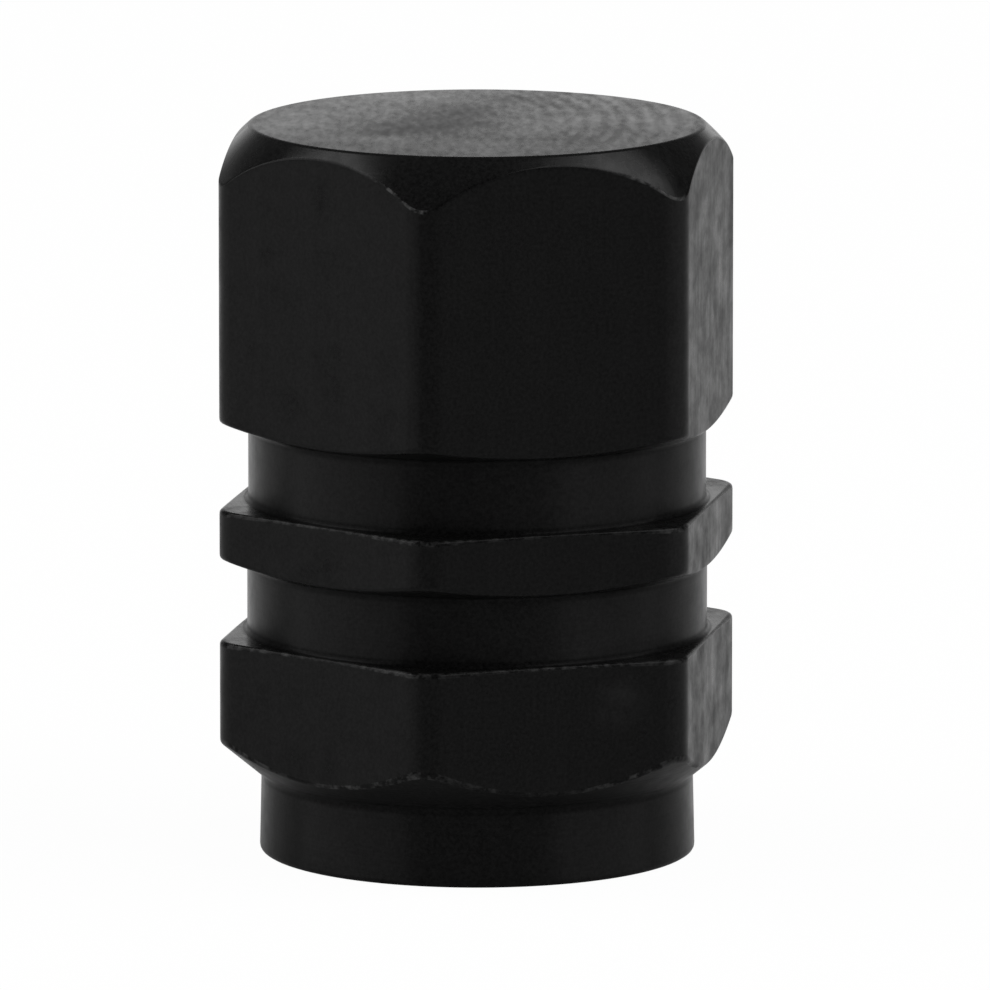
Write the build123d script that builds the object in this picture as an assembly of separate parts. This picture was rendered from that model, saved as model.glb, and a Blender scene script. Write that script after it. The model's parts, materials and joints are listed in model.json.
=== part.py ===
from build123d import *
import os
from math import radians, sqrt, tan

# A metal tyre valve cap, turned from hexagon bar, with a rubber sealing washer at the end of its bore.
# Millimetres. The cap stands on its open rim at z = 0, with its axis on Z and a flat facing -Y.

# The bar that the cap is turned from
across_flats = 11.0
bar_corner_radius = 0.85

# Lengths along the axis, from the rim up
skirt_height = 1.81
lower_band_height = 3.38
lower_neck_height = 1.62
collar_height = 1.45
upper_neck_height = 1.72
head_height = 7.02

# Depths of the turned surfaces below the flats
rim_depth = 0.45
skirt_depth = 0.49
lower_neck_depth = 0.17
upper_neck_depth = 0.2
top_face_inset = 0.25

# Cones, as slopes above a level plane, and the crowned chamfer round the top
band_cone_angle = 39.6
groove_flank_angle = 19.0
top_chamfer_height = 1.37
top_chamfer_crown = 0.085

# Edges and corners left by the tools
tool_nose_radius = 0.1
edge_break = 0.05
rim_break = 0.08

# Bore for a valve stem, from the mouth up
thread_root_diameter = 7.8
lead_in = 0.5
thread_length = 8.7
relief_depth = 0.25
pin_hole_diameter = 4.2
pin_hole_depth = 0.8
drill_point_angle = 118.0

# Sealing washer, seated at the end of the bore
washer_thickness = 1.2
washer_bore = 4.0
washer_clearance = 0.05
washer_end_gap = 0.15

# Heights of the shoulders
skirt_top = skirt_height
lower_band_top = skirt_top + lower_band_height
lower_neck_top = lower_band_top + lower_neck_height
collar_top = lower_neck_top + collar_height
upper_neck_top = collar_top + upper_neck_height
cap_height = upper_neck_top + head_height

# Radii of the turned surfaces
flat_radius = across_flats / 2
corner_reach = across_flats / sqrt(3)
rim_radius = flat_radius - rim_depth
skirt_radius = flat_radius - skirt_depth
lower_neck_radius = flat_radius - lower_neck_depth
upper_neck_radius = flat_radius - upper_neck_depth
top_face_radius = flat_radius - top_face_inset

# Heights and radii of the bore
thread_radius = thread_root_diameter / 2
relief_radius = thread_radius + relief_depth
pin_hole_radius = pin_hole_diameter / 2
thread_top = lead_in + thread_length
washer_seat = thread_top + washer_end_gap + washer_thickness
pin_hole_top = washer_seat + pin_hole_depth
drill_point_top = pin_hole_top + pin_hole_radius / tan(radians(drill_point_angle / 2))


def cone_rise(inner_radius, angle):
    """Height that a cone climbs from inner_radius out to the bar's corners."""
    return (corner_reach - inner_radius) * tan(radians(angle))


def turned_envelope():
    """Everything that the lathe leaves, as if the bar were round."""
    side = [
        (0, 0, 0),
        (rim_radius - rim_break, 0, 0),
        (rim_radius, rim_break, 0),
        (skirt_radius, skirt_top, tool_nose_radius),
        (corner_reach, skirt_top + cone_rise(skirt_radius, band_cone_angle), 0),
        (corner_reach, lower_band_top, 0),
        (lower_neck_radius, lower_band_top, tool_nose_radius),
        (lower_neck_radius, lower_neck_top, tool_nose_radius),
        (corner_reach, lower_neck_top + cone_rise(lower_neck_radius, groove_flank_angle), 0),
        (corner_reach, collar_top, 0),
        (upper_neck_radius, collar_top, tool_nose_radius),
        (upper_neck_radius, upper_neck_top, tool_nose_radius),
        (corner_reach, upper_neck_top + cone_rise(upper_neck_radius, groove_flank_angle), 0),
        (corner_reach, cap_height - top_chamfer_height, 0),
    ]
    points = [(radius, height) for radius, height, corner in side]
    corners = [corner for radius, height, corner in side[1:-1]]
    top_edge = (top_face_radius, cap_height)
    with BuildPart() as envelope:
        with BuildSketch(Plane.XZ):
            with BuildLine():
                FilletPolyline(*points, radius=corners)
                SagittaArc(points[-1], top_edge, -top_chamfer_crown)
                Polyline(top_edge, (0, cap_height), points[0])
            make_face()
        revolve(axis=Axis.Z)
    return envelope.part


def hexagon_bar():
    """The bar itself, with its drawn corners."""
    with BuildPart() as bar:
        with BuildSketch():
            RegularPolygon(flat_radius, 6, major_radius=False)
        extrude(amount=cap_height)
        fillet(bar.edges().filter_by(Axis.Z), bar_corner_radius)
    return bar.part


def bore():
    """The stepped blind bore: lead-in, threaded wall, relief for the washer, and room for the valve's pin."""
    with BuildPart() as hollow:
        with BuildSketch(Plane.XZ):
            with BuildLine():
                Polyline(
                    (0, 0),
                    (thread_radius + lead_in, 0),
                    (thread_radius, lead_in),
                    (thread_radius, thread_top),
                    (relief_radius, thread_top),
                    (relief_radius, washer_seat),
                    (pin_hole_radius, washer_seat),
                    (pin_hole_radius, pin_hole_top),
                    (0, drill_point_top),
                    close=True,
                )
            make_face()
        revolve(axis=Axis.Z)
    return hollow.part


def shoulder_edges(turned):
    """Hexagonal edges of the two level shoulders, which lie between the rim and the top face."""
    shoulders = turned.faces().filter_by(Axis.Z).sort_by(Axis.Z)[1:-1]
    return [edge for shoulder in shoulders for edge in shoulder.outer_wire().edges()]


def cap_body():
    """The body: the bar inside the turned envelope, with its sharp edges broken, less the bore."""
    with BuildPart() as body:
        add(hexagon_bar())
        add(turned_envelope(), mode=Mode.INTERSECT)
        chamfer(shoulder_edges(body), edge_break)
        add(bore(), mode=Mode.SUBTRACT)
    return body.part


def seal_washer():
    """A flat rubber ring against the end of the bore."""
    with BuildPart() as washer:
        with BuildSketch(Plane.XY.offset(washer_seat - washer_thickness)):
            Circle(relief_radius - washer_clearance)
            Circle(washer_bore / 2, mode=Mode.SUBTRACT)
        extrude(amount=washer_thickness)
    return washer.part


os.makedirs("parts", exist_ok=True)
export_step(cap_body(), "parts/cap_body.step")
export_step(seal_washer(), "parts/seal_washer.step")
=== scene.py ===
"""Looks of a metal tyre valve cap: its anodised body, its thread and its sealing washer, in a white studio.

Metres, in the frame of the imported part: the cap stands on its open rim at z = 0, with its axis on Z.
"""
import json
from collections import namedtuple
from math import atan2, cos, hypot, pi, radians, sin, sqrt, tan

import bpy
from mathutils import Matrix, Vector


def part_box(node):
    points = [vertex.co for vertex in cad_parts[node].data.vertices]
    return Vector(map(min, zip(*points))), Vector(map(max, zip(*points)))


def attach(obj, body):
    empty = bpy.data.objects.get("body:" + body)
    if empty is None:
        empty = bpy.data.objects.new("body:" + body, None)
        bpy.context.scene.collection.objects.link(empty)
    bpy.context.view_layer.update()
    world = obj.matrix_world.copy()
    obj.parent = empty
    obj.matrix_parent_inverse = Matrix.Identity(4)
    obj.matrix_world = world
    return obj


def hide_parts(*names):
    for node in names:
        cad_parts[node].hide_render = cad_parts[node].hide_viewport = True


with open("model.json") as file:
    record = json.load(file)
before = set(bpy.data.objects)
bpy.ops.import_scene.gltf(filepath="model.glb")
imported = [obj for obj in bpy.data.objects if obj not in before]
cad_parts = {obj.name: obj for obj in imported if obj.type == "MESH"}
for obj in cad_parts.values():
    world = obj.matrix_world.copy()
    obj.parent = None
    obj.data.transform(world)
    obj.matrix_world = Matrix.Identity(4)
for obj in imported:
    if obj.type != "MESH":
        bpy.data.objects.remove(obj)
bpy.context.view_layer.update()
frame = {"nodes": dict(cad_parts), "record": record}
mm = 0.001

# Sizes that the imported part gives
body_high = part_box("cap_body")[1]
washer_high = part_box("seal_washer")[1]
valve_mount = next(mount for mount in frame["record"]["mounts"] if mount["name"] == "valve_thread")
flat_radius = body_high.y
cap_height = body_high.z
thread_radius = valve_mount["dims"]["r_mm"] * mm
thread_length = valve_mount["dims"]["length_mm"] * mm
washer_seat = washer_high.z

# Hexagon bar and its turned outside, as in the solid
hexagon_sides = 6
bar_corner_radius = 0.85 * mm
skirt_top = 1.81 * mm
lower_band_top = 5.19 * mm
lower_neck_top = 6.81 * mm
collar_top = 8.26 * mm
upper_neck_top = 9.98 * mm
rim_radius = flat_radius - 0.45 * mm
skirt_radius = flat_radius - 0.49 * mm
lower_neck_radius = flat_radius - 0.17 * mm
upper_neck_radius = flat_radius - 0.2 * mm
top_face_radius = flat_radius - 0.25 * mm
band_cone_slope = tan(radians(39.6))
groove_flank_slope = tan(radians(19.0))
top_chamfer_height = 1.37 * mm
top_chamfer_crown = 0.085 * mm

# Crown of the top face, which is flat in the solid
top_crown = 0.04 * mm

# Bore, as in the solid
lead_in = 0.5 * mm
washer_clearance = 0.05 * mm
relief_radius = washer_high.x + washer_clearance
pin_hole_radius = 2.1 * mm
pin_hole_depth = 0.8 * mm
drill_point_angle = radians(118)

# How far each corner of the section is eased, along both of its sides
tool_nose = 0.1 * mm
edge_ease = 0.05 * mm
knocked_corner_ease = 0.07 * mm
chamfer_edge_ease = 0.035 * mm
top_edge_ease = 0.06 * mm
rim_ease = 0.12 * mm
bore_ease = 0.05 * mm

# Wear of some eased edges, up to 1; dulling of the chamfer's edge and painted shade as less shine in the
# inner corners, down to -1; and how far each reaches beside them
band_foot_wear = 0.5
band_top_wear = 0.45
collar_top_wear = 0.4
chamfer_dulling = -0.35
# Painted shade: less shine at the skirt's top and at the feet and tops of the necks, which darkens these
# inner corners
skirt_top_painted_shade = -0.5
neck_foot_painted_shade = -0.7
neck_top_painted_shade = -0.4
wear_width = 0.02 * mm
dulling_and_shade_width = 0.07 * mm

# Side of each bar corner that a spanner has rubbed, as angles past the corner
rubbed_from = radians(-17)
rubbed_fully = radians(-8)
rubbed_to = radians(2)

# Ridge of the valve thread
thread_pitch = 0.794 * mm
ridge_height = 0.43 * mm
ridge_foot = 0.694 * mm
ridge_crest = 0.2 * mm
crest_ease = 0.04 * mm
least_ease = 0.004 * mm
ridge_sunk = 0.03 * mm
ridge_fade_turns = 0.4

# Fineness of the meshes
corner_columns = 12
flat_columns = 36
ease_steps = 4
chamfer_steps = 5
top_steps = 6
ridge_steps_per_turn = 72

# Anodised skin: its brightness, the metal under it, and how it mirrors
skin_tones = 0.0006, 0.0044
bare_metal = 0.07, 0.07, 0.07, 1
skin_ior = 1.16
# Gloss left where the chamfer's edge is dulled, and in the inner corners where it paints shade
dulled_and_shaded_gloss = 0.1
worn_gloss = 0.36
worn_gloss_from = 0.4
quarter_turn = 0.25

# Values of a noise between which the skin changes, and the least of its film and of its worn lengths
dye_range = 0.35, 0.65
film_range = 0.35, 0.65
speck_range = 0.44, 0.72
worn_length_range = 0.4, 0.6
gloss_range = 0.25, 0.75
least_film = 0.1
least_worn_length = 0.35

# Faint smudge on the lower band: its place and reach in millimetres, and its brightness
smudge_place = 1.6, -5.5, 4.3
smudge_reach = 0.1, 0.8
smudge_tone = 0.0055

# Facing cut over the top, lengths in millimetres: arcs about a point off to one side, and a dull patch
facing_turn = radians(-18.5)
facing_swing = 9.0
facing_pitch = 0.42
facing_stretch = 0.25
wave_texture_period = pi / 10
arc_depth = 0.1
arc_contrast = 0.15
arcs_clear_across = -0.5, 2.5
arcs_clear_along = -3.5, 0.5
arcs_at_front = 0.4
patch_dullness = 0.16
patch_reach = 0.2, 1.1
patch_stretch = 0.35
patch_tail = -0.3

# Rubber of the washer
rubber_tones = (0.018, 0.018, 0.018, 1), (0.04, 0.04, 0.039, 1)
rubber_grain_range = 0.3, 0.7
rubber_roughness = 0.7, 0.85
rubber_grain_depth = 0.01 * mm

# Floor: its grey, and how much of it is plain white to the camera and in reflections
floor_half_width = 2.0
floor_sunk = 0.01 * mm
floor_grey = 0.7, 0.7, 0.7, 1
floor_white_seen = 0.97
floor_white_mirrored = 0.04

# Sky: its fill on what it lights, and its strengths in reflections, by elevation and round the far side
sky_fill = 0.25
horizon_band = radians(8), radians(18)
horizon_strengths = 0.98, 0.12
overhead_band = radians(40), radians(60)
overhead_strengths = 0.0, 0.35
far_side_turn = radians(-4)
far_side_cosines = 0.83, 0.97
far_side_strengths = 0.25, 0.98

# Lamps
softbox_distance = 0.6

# Camera, as in the photograph
camera_azimuth = radians(-18.5)
camera_elevation = radians(9.9)
camera_distance = 373.63 * mm
camera_aside = 0.4129 * mm
camera_down = 0.2144 * mm
sensor_width = 36.0
pixels_across = 990
pixels_of_focus = 16136

# Worked out from the sizes above
side_angle = 2 * pi / hexagon_sides
corner_reach = flat_radius / cos(side_angle / 2)
corner_centre = (flat_radius - bar_corner_radius) / cos(side_angle / 2)
thread_top = lead_in + thread_length
pin_hole_top = washer_seat + pin_hole_depth
drill_point_top = pin_hole_top + pin_hole_radius / tan(drill_point_angle / 2)
cap_middle = Vector((0, 0, cap_height / 2))

# Finishes, in the order of the body's materials
DRAWN, TURNED, FACED, FINE = range(4)

# A corner of the body's section, and a row of its mesh
# Worn values above 0 are worn edges; below 0 they are the chamfer edge's dulling and painted shade in the
# inner corners
Corner = namedtuple("Corner", "radius height ease worn finish")
Row = namedtuple("Row", "point worn finish")


def corner_offset(turn):
    """Angle round the axis, from the middle of a bar corner to where the skin has turned this far."""
    return atan2(bar_corner_radius * sin(turn), corner_centre + bar_corner_radius * cos(turn))


corner_half_angle = corner_offset(side_angle / 2)


def past_corner(angle):
    """Angle past the nearest bar corner. The corners lie on the X axis and every 60 degrees."""
    return (angle + side_angle / 2) % side_angle - side_angle / 2


def bar_reach(angle):
    """Distance from the axis to the bar's skin, which has flats joined by rounded corners."""
    from_corner = abs(past_corner(angle))
    if from_corner < corner_half_angle:
        across = corner_centre * sin(from_corner)
        return corner_centre * cos(from_corner) + sqrt(bar_corner_radius**2 - across**2)
    return flat_radius / cos(side_angle / 2 - from_corner)


def column_angles():
    """Angles at which the section is drawn, close together round the corners of the bar."""
    angles = []
    flat_angle = side_angle - 2 * corner_half_angle
    for side in range(hexagon_sides):
        middle = side * side_angle
        for step in range(corner_columns):
            angles.append(middle + corner_offset((step / corner_columns - 0.5) * side_angle))
        for step in range(flat_columns):
            angles.append(middle + corner_half_angle + flat_angle * step / flat_columns)
    return angles


def chamfer_height(radius):
    """Height of the crowned chamfer round the top, an arc from the bar's corners to the top face."""
    inset = corner_reach - top_face_radius
    chord = hypot(inset, top_chamfer_height)
    arc_radius = (chord**2 / 4 + top_chamfer_crown**2) / (2 * top_chamfer_crown)
    setback = (arc_radius - top_chamfer_crown) / chord
    centre_radius = (corner_reach + top_face_radius) / 2 - setback * top_chamfer_height
    centre_height = cap_height - top_chamfer_height / 2 - setback * inset
    return centre_height + sqrt(arc_radius**2 - (radius - centre_radius) ** 2)


def rubbed(angle):
    """Wear of the top chamfer's lower edge, on one side of each bar corner."""
    past = past_corner(angle)
    rising = (past - rubbed_from) / (rubbed_fully - rubbed_from)
    falling = 1 - past / rubbed_to
    return max(chamfer_dulling, min(1, rising, falling))


def half_section(angle):
    """Corners of the section at one angle round the axis, from the drill point out and up to the top."""
    reach = bar_reach(angle)
    cone_end = skirt_top + (reach - skirt_radius) * band_cone_slope
    collar_foot = lower_neck_top + (reach - lower_neck_radius) * groove_flank_slope
    head_foot = upper_neck_top + (reach - upper_neck_radius) * groove_flank_slope
    ease = edge_ease + knocked_corner_ease * (reach - flat_radius) / (corner_reach - flat_radius)
    corners = [
        Corner(0, drill_point_top, 0, 0, TURNED),
        Corner(pin_hole_radius, pin_hole_top, bore_ease, 0, TURNED),
        Corner(pin_hole_radius, washer_seat, bore_ease, 0, TURNED),
        Corner(relief_radius, washer_seat, bore_ease, 0, TURNED),
        Corner(relief_radius, thread_top, bore_ease, 0, TURNED),
        Corner(thread_radius, thread_top, bore_ease, 0, TURNED),
        Corner(thread_radius, lead_in, bore_ease, 0, TURNED),
        Corner(thread_radius + lead_in, 0, bore_ease, 0, TURNED),
        Corner(rim_radius, 0, rim_ease, 0, TURNED),
        # The tool-nose corners at the skirt's top and at the necks get painted shade, as less shine
        Corner(skirt_radius, skirt_top, tool_nose, skirt_top_painted_shade, TURNED),
        Corner(reach, cone_end, ease, band_foot_wear, DRAWN),
        Corner(reach, lower_band_top, ease, band_top_wear, FINE),
        Corner(lower_neck_radius, lower_band_top, tool_nose, neck_foot_painted_shade, TURNED),
        Corner(lower_neck_radius, lower_neck_top, tool_nose, neck_top_painted_shade, TURNED),
        Corner(reach, collar_foot, ease, 0, DRAWN),
        Corner(reach, collar_top, ease, collar_top_wear, FINE),
        Corner(upper_neck_radius, collar_top, tool_nose, neck_foot_painted_shade, TURNED),
        Corner(upper_neck_radius, upper_neck_top, tool_nose, neck_top_painted_shade, TURNED),
        Corner(reach, head_foot, ease, 0, DRAWN),
        Corner(reach, chamfer_height(reach), chamfer_edge_ease, rubbed(angle), FINE),
    ]
    for step in range(1, chamfer_steps):
        radius = reach + (top_face_radius - reach) * step / chamfer_steps
        corners.append(Corner(radius, chamfer_height(radius), 0, 0, FINE))
    corners.append(Corner(top_face_radius, cap_height, top_edge_ease, 0, FACED))
    for step in range(1, top_steps + 1):
        share = 1 - step / top_steps
        height = cap_height + top_crown * (1 - share**2)
        corners.append(Corner(top_face_radius * share, height, 0, 0, FACED))
    return corners


def eased(before, corner, after, ease):
    """Points that round off one corner, from ease before it to ease after it."""
    start = corner + (before - corner).normalized() * ease
    end = corner + (after - corner).normalized() * ease
    points = []
    for step in range(ease_steps + 1):
        share = step / ease_steps
        points.append(start * (1 - share) ** 2 + corner * 2 * share * (1 - share) + end * share**2)
    return points


def beside(corner, other, ease, other_ease, width):
    """A point just past the eased part of a corner, within a third of the free way to another corner."""
    way = other - corner
    free = way.length - ease - other_ease
    return corner + way.normalized() * (ease + min(width, free / 3))


def section_rows(corners):
    """Rows of the mesh along one section, each with the finish of the run that it starts."""
    places = [Vector((corner.radius, corner.height)) for corner in corners]
    last = len(corners) - 1
    rows = []
    for index, (corner, place) in enumerate(zip(corners, places)):
        if index in (0, last) or corner.ease == 0:
            rows.append(Row(place, 0, corner.finish))
            continue
        # Dulling and painted shade reach further beside a corner than worn edges do
        width = dulling_and_shade_width if corner.worn < 0 else wear_width
        before, after = corners[index - 1], corners[index + 1]
        back, on = places[index - 1], places[index + 1]
        rows.append(Row(beside(place, back, corner.ease, before.ease, width), 0, before.finish))
        for point in eased(back, place, on, corner.ease):
            rows.append(Row(point, corner.worn, corner.finish))
        rows.append(Row(beside(place, on, corner.ease, after.ease, width), 0, corner.finish))
    return rows


def point_at(radius, height, angle):
    """The point at this distance from the axis, height and angle round the axis."""
    return radius * cos(angle), radius * sin(angle), height


def link(mesh, materials):
    """An object for a mesh, smooth all over, with these materials."""
    mesh.shade_smooth()
    for material in materials:
        mesh.materials.append(material)
    made = bpy.data.objects.new(mesh.name, mesh)
    bpy.context.scene.collection.objects.link(made)
    return made


def weigh_normals(made):
    """Keep large faces flat and let the small ones between them turn."""
    normals = made.modifiers.new("normals", "WEIGHTED_NORMAL")
    normals.mode = "FACE_AREA"


def cap_body(materials):
    """The body as one closed skin: its section at every column, joined to the next all the way round."""
    angles = column_angles()
    columns = [section_rows(half_section(angle)) for angle in angles]
    vertices = [(0, 0, drill_point_top), (0, 0, cap_height + top_crown)]
    # Per point: worn edges above 0; the chamfer edge's dulling and painted shade in inner corners below 0
    wear_and_shade = [0.0, 0.0]
    for angle, rows in zip(angles, columns):
        for row in rows[1:-1]:
            vertices.append(point_at(row.point.x, row.point.y, angle))
            wear_and_shade.append(row.worn)
    faces = []
    finishes = []
    rings = len(columns[0]) - 2
    for column in range(len(angles)):
        here = 2 + column * rings
        there = 2 + (column + 1) % len(angles) * rings
        faces.append((0, there, here))
        finishes.append(TURNED)
        for ring in range(rings - 1):
            faces.append((here + ring, there + ring, there + ring + 1, here + ring + 1))
            finishes.append(columns[0][ring + 1].finish)
        faces.append((here + rings - 1, there + rings - 1, 1))
        finishes.append(FACED)
    mesh = bpy.data.meshes.new("anodised_body")
    mesh.from_pydata(vertices, [], faces)
    mesh.polygons.foreach_set("material_index", finishes)
    mesh.attributes.new("wear_and_shade", "FLOAT", "POINT").data.foreach_set("value", wear_and_shade)
    made = link(mesh, materials)
    weigh_normals(made)
    return made


def ridge_section(fade):
    """Section of the thread's ridge, as radius and height about its middle. It fades into the wall."""
    foot_radius = thread_radius + ridge_sunk
    crest_radius = thread_radius + ridge_sunk / 2 - (ridge_height + ridge_sunk / 2) * fade
    foot_low = Vector((foot_radius, -ridge_foot / 2))
    crest_low = Vector((crest_radius, -ridge_crest / 2))
    crest_high = Vector((crest_radius, ridge_crest / 2))
    foot_high = Vector((foot_radius, ridge_foot / 2))
    ease = max(crest_ease * fade, least_ease)
    low_round = eased(foot_low, crest_low, crest_high, ease)
    high_round = eased(crest_low, crest_high, foot_high, ease)
    return [foot_low, *low_round, *high_round, foot_high]


def internal_thread(material):
    """The right-handed ridge of the valve thread, a closed skin that winds up the wall of the bore."""
    start = lead_in + ridge_foot / 2
    rise = thread_length - ridge_foot
    turns = rise / thread_pitch
    steps = round(turns * ridge_steps_per_turn)
    vertices = []
    for step in range(steps + 1):
        turn = turns * step / steps
        fade = min(1, turn / ridge_fade_turns, (turns - turn) / ridge_fade_turns)
        middle = start + rise * step / steps
        for point in ridge_section(fade):
            vertices.append(point_at(point.x, middle + point.y, 2 * pi * turn))
    around = len(vertices) // (steps + 1)
    faces = [tuple(reversed(range(around))), tuple(range(steps * around, (steps + 1) * around))]
    for step in range(steps):
        for point in range(around):
            here = step * around + point
            on = step * around + (point + 1) % around
            faces.append((here, on, on + around, here + around))
    mesh = bpy.data.meshes.new("internal_thread")
    mesh.from_pydata(vertices, [], faces)
    made = link(mesh, [material])
    weigh_normals(made)
    return made


def add_node(tree, kind, inputs=None, **settings):
    """A shader node with these settings, whose inputs are set to values or linked to sockets."""
    made = tree.nodes.new(kind)
    for name, value in settings.items():
        setattr(made, name, value)
    for key, value in (inputs or {}).items():
        if isinstance(value, bpy.types.NodeSocket):
            tree.links.new(value, made.inputs[key])
        else:
            made.inputs[key].default_value = value
    return made


def new_material(name):
    """A material with an empty tree, and that tree."""
    material = bpy.data.materials.new(name)
    material.use_nodes = True
    material.node_tree.nodes.clear()
    return material, material.node_tree


def calculate(tree, operation, *values):
    """Socket of a sum, product or the like of sockets and numbers."""
    return add_node(tree, "ShaderNodeMath", dict(enumerate(values)), operation=operation).outputs[0]


def multiply(tree, value, factor):
    """Socket of a product."""
    return calculate(tree, "MULTIPLY", value, factor)


def add_share(tree, value, extra, share):
    """Socket of a value plus a share of an extra one."""
    return calculate(tree, "MULTIPLY_ADD", extra, share, value)


def centred(tree, value):
    """Socket that takes 0..1 to -0.5..0.5."""
    return calculate(tree, "SUBTRACT", value, 0.5)


def spread(tree, value, given, wanted):
    """Socket that takes one range to another, and no further."""
    inputs = {
        "Value": value,
        "From Min": given[0],
        "From Max": given[1],
        "To Min": wanted[0],
        "To Max": wanted[1],
    }
    return add_node(tree, "ShaderNodeMapRange", inputs).outputs["Result"]


def distance(tree, across, along):
    """Socket of the distance that two sockets at right angles add up to."""
    squares = multiply(tree, across, across), multiply(tree, along, along)
    return calculate(tree, "SQRT", calculate(tree, "ADD", *squares))


def dot(tree, place, way):
    """Socket of how far a place lies along a way."""
    made = add_node(tree, "ShaderNodeVectorMath", {0: place, 1: way}, operation="DOT_PRODUCT")
    return made.outputs["Value"]


def place_of(tree, across, along):
    """Coordinates made of two sockets."""
    return add_node(tree, "ShaderNodeCombineXYZ", {"X": across, "Y": along}).outputs[0]


def millimetres(tree, stretch=(1, 1, 1)):
    """Object coordinates in millimetres, stretched along the axes."""
    place = add_node(tree, "ShaderNodeTexCoord").outputs["Object"]
    scale = [share / mm for share in stretch]
    made = add_node(tree, "ShaderNodeVectorMath", {0: place, 1: scale}, operation="MULTIPLY")
    return made.outputs["Vector"]


def round_axis(tree):
    """Coordinates that are the same all round the axis: radius and height in millimetres."""
    x, y, z = add_node(tree, "ShaderNodeSeparateXYZ", {0: millimetres(tree)}).outputs
    return place_of(tree, distance(tree, x, y), z)


def noise(tree, place, scale, detail=2.0, roughness=0.5):
    """Socket of a noise, from 0 to 1, with features about 1/scale across."""
    inputs = {"Vector": place, "Scale": scale, "Detail": detail, "Roughness": roughness}
    return add_node(tree, "ShaderNodeTexNoise", inputs).outputs["Fac"]


def drawn_marks(tree):
    """Streaks along the bar, left by the drawing die, and the patches of their gloss."""
    streaks = noise(tree, millimetres(tree, (1, 1, 0.05)), scale=1.1)
    grain = noise(tree, millimetres(tree, (1, 1, 0.4)), scale=10.0, detail=3.0)
    height = add_share(tree, streaks, grain, share=0.06)
    blotches = noise(tree, millimetres(tree, (1, 1, 1.3)), scale=1.0, detail=5.0, roughness=0.65)
    drawn_out = noise(tree, millimetres(tree, (1, 1, 0.3)), scale=1.1, detail=4.0, roughness=0.6)
    patches = add_share(tree, blotches, centred(tree, drawn_out), share=0.6)
    return height, patches


def turned_marks(tree):
    """Fine rings left by the lathe, and the patches of their gloss."""
    rings = noise(tree, round_axis(tree), scale=14.0)
    flecks = noise(tree, millimetres(tree), scale=8.0)
    height = add_share(tree, rings, flecks, share=0.3)
    patches = noise(tree, millimetres(tree), scale=2.0, detail=4.0, roughness=0.6)
    return height, patches


def fine_marks(tree):
    """Fine rings of a finishing cut, and streaks across them in its gloss."""
    rings = noise(tree, round_axis(tree), scale=14.0)
    patches = noise(tree, millimetres(tree, (1, 1, 0.4)), scale=2.0, detail=4.0, roughness=0.6)
    return rings, patches


def facing_arcs(tree, across, along):
    """Arcs of a facing cut, about a point off to one side."""
    swing = distance(tree, calculate(tree, "ADD", across, facing_swing), along)
    waves = {
        "Vector": place_of(tree, swing, multiply(tree, along, facing_stretch)),
        "Scale": wave_texture_period / facing_pitch,
        "Distortion": 1.7,
        "Detail": 2.0,
    }
    return add_node(tree, "ShaderNodeTexWave", waves, wave_type="BANDS", bands_direction="X").outputs["Fac"]


def dull_patch(tree, across, along):
    """A duller patch in the middle of the top, with a tail to one side."""
    lopsided = calculate(tree, "MAXIMUM", across, multiply(tree, across, patch_tail))
    apart = distance(tree, lopsided, multiply(tree, along, patch_stretch))
    return spread(tree, apart, patch_reach, (patch_dullness, 0.0))


def faced_marks(tree):
    """Streaks and arcs left by a facing cut, and the patches of their gloss, with arcs on one side."""
    place = millimetres(tree)
    across = dot(tree, place, (cos(facing_turn), sin(facing_turn), 0))
    along = dot(tree, place, (-sin(facing_turn), cos(facing_turn), 0))
    arcs = facing_arcs(tree, across, along)
    streak_place = place_of(tree, across, multiply(tree, along, facing_stretch))
    streaks = noise(tree, streak_place, scale=5.5, detail=1.5, roughness=0.6)
    height = add_share(tree, streaks, arcs, arc_depth)
    broad = noise(tree, place, scale=0.45, detail=1.0)
    mottle = multiply(tree, calculate(tree, "ADD", streaks, broad), factor=0.5)
    to_one_side = spread(tree, across, arcs_clear_across, (0.0, arc_contrast))
    to_the_back = spread(tree, along, arcs_clear_along, (arcs_at_front, 1.0))
    clear = multiply(tree, to_one_side, to_the_back)
    ridged = add_share(tree, mottle, centred(tree, arcs), clear)
    patches = calculate(tree, "ADD", ridged, dull_patch(tree, across, along))
    return height, patches


def skin_tone(tree):
    """Brightness of the dyed skin: a fine grain, and one faint smudge."""
    dye = noise(tree, millimetres(tree), scale=12.0, detail=4.0, roughness=0.7)
    film = noise(tree, millimetres(tree), scale=2.5, detail=3.0, roughness=0.6)
    ends = {0: millimetres(tree), 1: smudge_place}
    apart = add_node(tree, "ShaderNodeVectorMath", ends, operation="DISTANCE").outputs["Value"]
    smudge = spread(tree, apart, smudge_reach, (smudge_tone, 0.0))
    tone = spread(tree, dye, dye_range, skin_tones)
    return add_share(tree, tone, smudge, spread(tree, film, film_range, (least_film, 1.0)))


def worn_through(tree, wear_and_shade):
    """How far the skin is worn through: in specks, and more on some lengths of an edge than on others."""
    specks = noise(tree, millimetres(tree), scale=4.6, detail=3.0, roughness=0.6)
    lengths = noise(tree, millimetres(tree), scale=0.35, detail=1.0)
    speckled = spread(tree, specks, speck_range, (0.0, 1.0))
    here_and_there = spread(tree, lengths, worn_length_range, (least_worn_length, 1.0))
    worn = calculate(tree, "MAXIMUM", wear_and_shade, 0.0)
    return multiply(tree, worn, multiply(tree, speckled, here_and_there))


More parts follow.
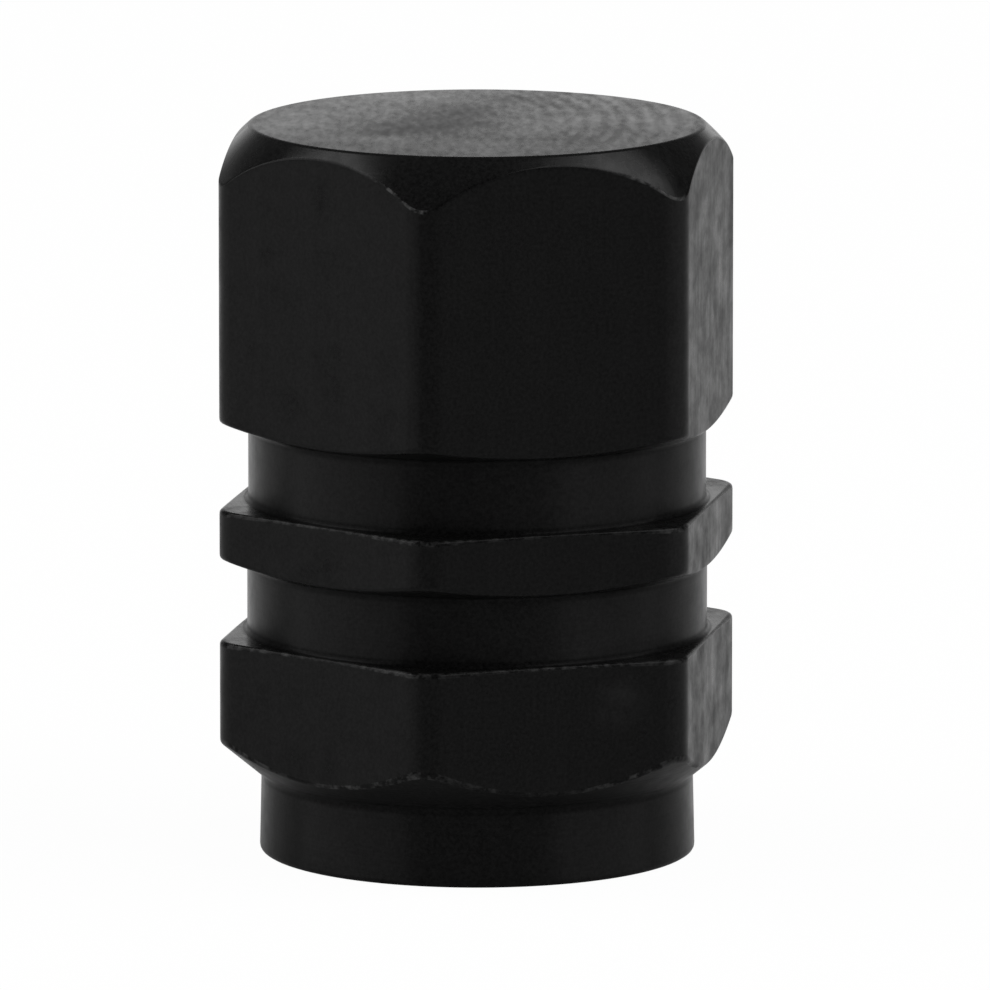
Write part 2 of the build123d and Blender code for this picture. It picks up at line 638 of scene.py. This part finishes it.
def shine(tree, wear_and_shade, gloss):
    """How strongly the skin mirrors: less where it is dulled, less in the inner corners as painted shade,
    and less where it is worn.
    """
    where_dulled_and_shaded = spread(tree, wear_and_shade, (-1.0, 0.0), (dulled_and_shaded_gloss, gloss))
    where_worn = spread(tree, wear_and_shade, (0.0, worn_gloss_from), (gloss, worn_gloss))
    return calculate(tree, "MINIMUM", where_dulled_and_shaded, where_worn)


def mix(tree, share, colour, other):
    """Socket of a colour that goes over to another one."""
    inputs = {"Factor": share, "A": colour, "B": other}
    return add_node(tree, "ShaderNodeMix", inputs, data_type="RGBA").outputs["Result"]


def finish_material(tree, shader_inputs):
    """Give a tree its shader and its output."""
    shader = add_node(tree, "ShaderNodeBsdfPrincipled", shader_inputs)
    add_node(tree, "ShaderNodeOutputMaterial", {"Surface": shader.outputs["BSDF"]})


def bump(tree, height, depth):
    """Socket of the normals that marks of this depth give."""
    inputs = {"Height": height, "Strength": 1.0, "Distance": depth}
    return add_node(tree, "ShaderNodeBump", inputs).outputs["Normal"]


def anodised(name, marks, roughness, patchiness, mark_depth, stretch, gloss):
    """Black anodised aluminium: a dyed skin that shines at a glancing angle, worn through on its edges, and
    with painted shade as less shine in its inner corners.

    Stretch is how far its highlights are drawn out up and down, as by fine marks that run round the axis.
    """
    material, tree = new_material(name)
    height, patches = marks(tree)
    # Worn edges above 0; dulling and painted shade below 0
    wear_and_shade = add_node(tree, "ShaderNodeAttribute", attribute_name="wear_and_shade").outputs["Fac"]
    roughnesses = roughness - patchiness, roughness + patchiness
    finish_material(tree, {
        "Base Color": mix(tree, worn_through(tree, wear_and_shade), skin_tone(tree), bare_metal),
        "Roughness": spread(tree, patches, gloss_range, roughnesses),
        "IOR": skin_ior,
        # Less shine in the inner corners is painted shade
        "Specular IOR Level": shine(tree, wear_and_shade, gloss),
        "Anisotropic": stretch,
        "Anisotropic Rotation": quarter_turn,
        "Tangent": add_node(tree, "ShaderNodeTangent", direction_type="RADIAL", axis="Z").outputs[0],
        "Normal": bump(tree, height, mark_depth),
    })
    return material


def seal_rubber():
    """Matt black rubber with a moulded grain."""
    material, tree = new_material("seal_rubber")
    grain = noise(tree, millimetres(tree), scale=9.0, detail=4.0, roughness=0.6)
    finish_material(tree, {
        "Base Color": mix(tree, grain, *rubber_tones),
        "Roughness": spread(tree, grain, rubber_grain_range, rubber_roughness),
        "Normal": bump(tree, grain, rubber_grain_depth),
    })
    return material


def ray_kinds(tree):
    """Sockets that are 1 for what the camera sees straight, and for what shows in or through a surface."""
    path = add_node(tree, "ShaderNodeLightPath").outputs
    mirrored = calculate(tree, "MAXIMUM", path["Is Glossy Ray"], path["Is Transmission Ray"])
    return path["Is Camera Ray"], mirrored


def white_floor():
    """A large pale floor that is nearly white to the camera, with the cap's faint shadow."""
    signs = (-1, -1), (1, -1), (1, 1), (-1, 1)
    corners = [(floor_half_width * x, floor_half_width * y, -floor_sunk) for x, y in signs]
    mesh = bpy.data.meshes.new("floor")
    mesh.from_pydata(corners, [], [(0, 1, 2, 3)])
    material, tree = new_material("floor_white")
    material.cycles.emission_sampling = "NONE"
    camera, mirrored = ray_kinds(tree)
    seen_white = multiply(tree, camera, floor_white_seen)
    mirrored_white = multiply(tree, mirrored, floor_white_mirrored)
    share = calculate(tree, "MAXIMUM", seen_white, mirrored_white)
    shaded = add_node(tree, "ShaderNodeBsdfDiffuse", {"Color": floor_grey})
    white = add_node(tree, "ShaderNodeEmission", {"Color": (1, 1, 1, 1), "Strength": 1.0})
    mixed = add_node(tree, "ShaderNodeMixShader", {0: share, 1: shaded.outputs[0], 2: white.outputs[0]})
    add_node(tree, "ShaderNodeOutputMaterial", {"Surface": mixed.outputs[0]})
    floor = link(mesh, [material])


def mirrored_sky(tree):
    """Strength of the sky in reflections: bright low on the far side, dim elsewhere, less dim overhead."""
    way = add_node(tree, "ShaderNodeTexCoord").outputs["Generated"]
    rise = add_node(tree, "ShaderNodeSeparateXYZ", {0: way}).outputs["Z"]
    far_turn = camera_azimuth + far_side_turn
    depth = dot(tree, way, (-sin(far_turn), cos(far_turn), 0))
    low = spread(tree, rise, [sin(angle) for angle in horizon_band], horizon_strengths)
    beyond = spread(tree, depth, far_side_cosines, far_side_strengths)
    overhead = spread(tree, rise, [sin(angle) for angle in overhead_band], overhead_strengths)
    return calculate(tree, "MAXIMUM", calculate(tree, "MINIMUM", low, beyond), overhead)


def white_world():
    """White to the camera, the studio's sky in reflections, and an even fill on what it lights."""
    world = bpy.data.worlds.new("studio")
    world.use_nodes = True
    world.cycles.sampling_method = "NONE"
    tree = world.node_tree
    tree.nodes.clear()
    camera, mirrored = ray_kinds(tree)
    past_fill = calculate(tree, "SUBTRACT", mirrored_sky(tree), sky_fill)
    lighting = add_share(tree, sky_fill, past_fill, mirrored)
    strength = calculate(tree, "MAXIMUM", camera, lighting)
    shown = add_node(tree, "ShaderNodeBackground", {"Color": (1, 1, 1, 1), "Strength": strength})
    add_node(tree, "ShaderNodeOutputWorld", {"Surface": shown.outputs[0]})
    bpy.context.scene.world = world


def towards(azimuth, elevation):
    """Direction from the cap, at an azimuth to the right of the flat that faces -Y."""
    return Vector((sin(azimuth) * cos(elevation), -cos(azimuth) * cos(elevation), sin(elevation)))


def place_facing(name, data, place, back):
    """Put a lamp or a camera at a place, with its back this way."""
    made = bpy.data.objects.new(name, data)
    made.location = place
    made.rotation_euler = back.to_track_quat("Z", "Y").to_euler()
    bpy.context.scene.collection.objects.link(made)
    return made


def softbox(name, azimuth, elevation, width, height, radiance):
    """An area lamp that faces the cap, with its azimuth to the right of the camera. Angles in degrees."""
    back = towards(camera_azimuth + radians(azimuth), radians(elevation))
    lamp = bpy.data.lights.new(name, "AREA")
    lamp.shape = "RECTANGLE"
    lamp.size = width
    lamp.size_y = height
    lamp.energy = radiance * pi * width * height
    place_facing(name, lamp, cap_middle + back * softbox_distance, back)


def photo_camera():
    """The photograph's camera: its angle, its distance, and the cap where it stands in the frame."""
    back = towards(camera_azimuth, camera_elevation)
    right = Vector((cos(camera_azimuth), sin(camera_azimuth), 0))
    up = back.cross(right)
    place = cap_middle + back * camera_distance
    target = cap_middle + right * camera_aside - up * camera_down
    lens = bpy.data.cameras.new("camera")
    lens.sensor_width = sensor_width
    lens.lens = sensor_width * pixels_of_focus / pixels_across
    bpy.context.scene.camera = place_facing("camera", lens, place, place - target)


# The cap
drawn = anodised(
    "anodised_drawn",
    drawn_marks,
    roughness=0.38,
    patchiness=0.15,
    mark_depth=0.02 * mm,
    stretch=0.6,
    gloss=0.5,
)
turned = anodised(
    "anodised_turned",
    turned_marks,
    roughness=0.34,
    patchiness=0.06,
    mark_depth=0.003 * mm,
    stretch=0.9,
    gloss=0.5,
)
faced = anodised(
    "anodised_faced",
    faced_marks,
    roughness=0.25,
    patchiness=0.1,
    mark_depth=0.003 * mm,
    stretch=0.0,
    gloss=0.5,
)
fine = anodised(
    "anodised_fine",
    fine_marks,
    roughness=0.25,
    patchiness=0.12,
    mark_depth=0.003 * mm,
    stretch=0.9,
    gloss=0.75,
)

body = cap_body([drawn, turned, faced, fine])
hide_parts("cap_body")
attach(body, "root")

thread = internal_thread(turned)
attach(thread, "root")

washer = frame["nodes"]["seal_washer"]
washer.data.materials.clear()
washer.data.materials.append(seal_rubber())

# The studio
white_floor()
white_world()
softbox("left_softbox", azimuth=-95, elevation=47, width=0.42, height=0.3, radiance=4.4)
softbox("right_softbox", azimuth=77, elevation=51, width=0.58, height=0.34, radiance=4.4)
softbox("left_panel", azimuth=-72, elevation=14, width=0.8, height=0.28, radiance=2.8)
softbox("right_panel", azimuth=72, elevation=14, width=0.65, height=0.28, radiance=2.4)
photo_camera()
bpy.context.scene.view_settings.view_transform = "Standard"
